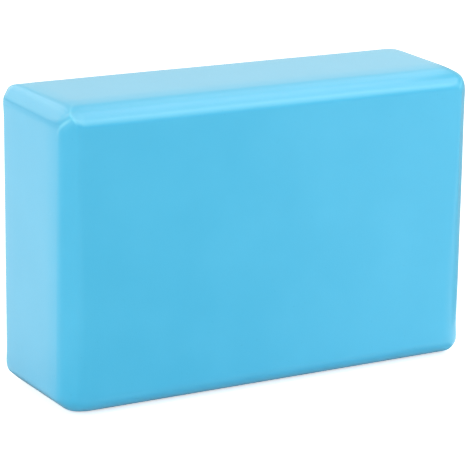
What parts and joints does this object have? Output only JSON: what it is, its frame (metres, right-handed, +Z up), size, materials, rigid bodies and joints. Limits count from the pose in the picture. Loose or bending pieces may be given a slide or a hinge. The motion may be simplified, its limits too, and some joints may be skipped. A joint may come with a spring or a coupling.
{
  "type": "foam block",
  "caption": "Firm rectangular foam block with bevelled edges that meet in mitred corners, standing on one long narrow side.",
  "frame": {"origin": "middle of the underside, the long narrow face that the block stands on", "axes": "+X along the length, +Y through the thickness with the broad faces looking along it, +Z up"},
  "size_m": [0.23, 0.075, 0.152],
  "materials": {
    "foam": "matte to satin closed-cell EVA foam, sky blue, fine even cells"
  },
  "bodies": {
    "root": {"foam_block": "foam"}
  },
  "joints": []
}
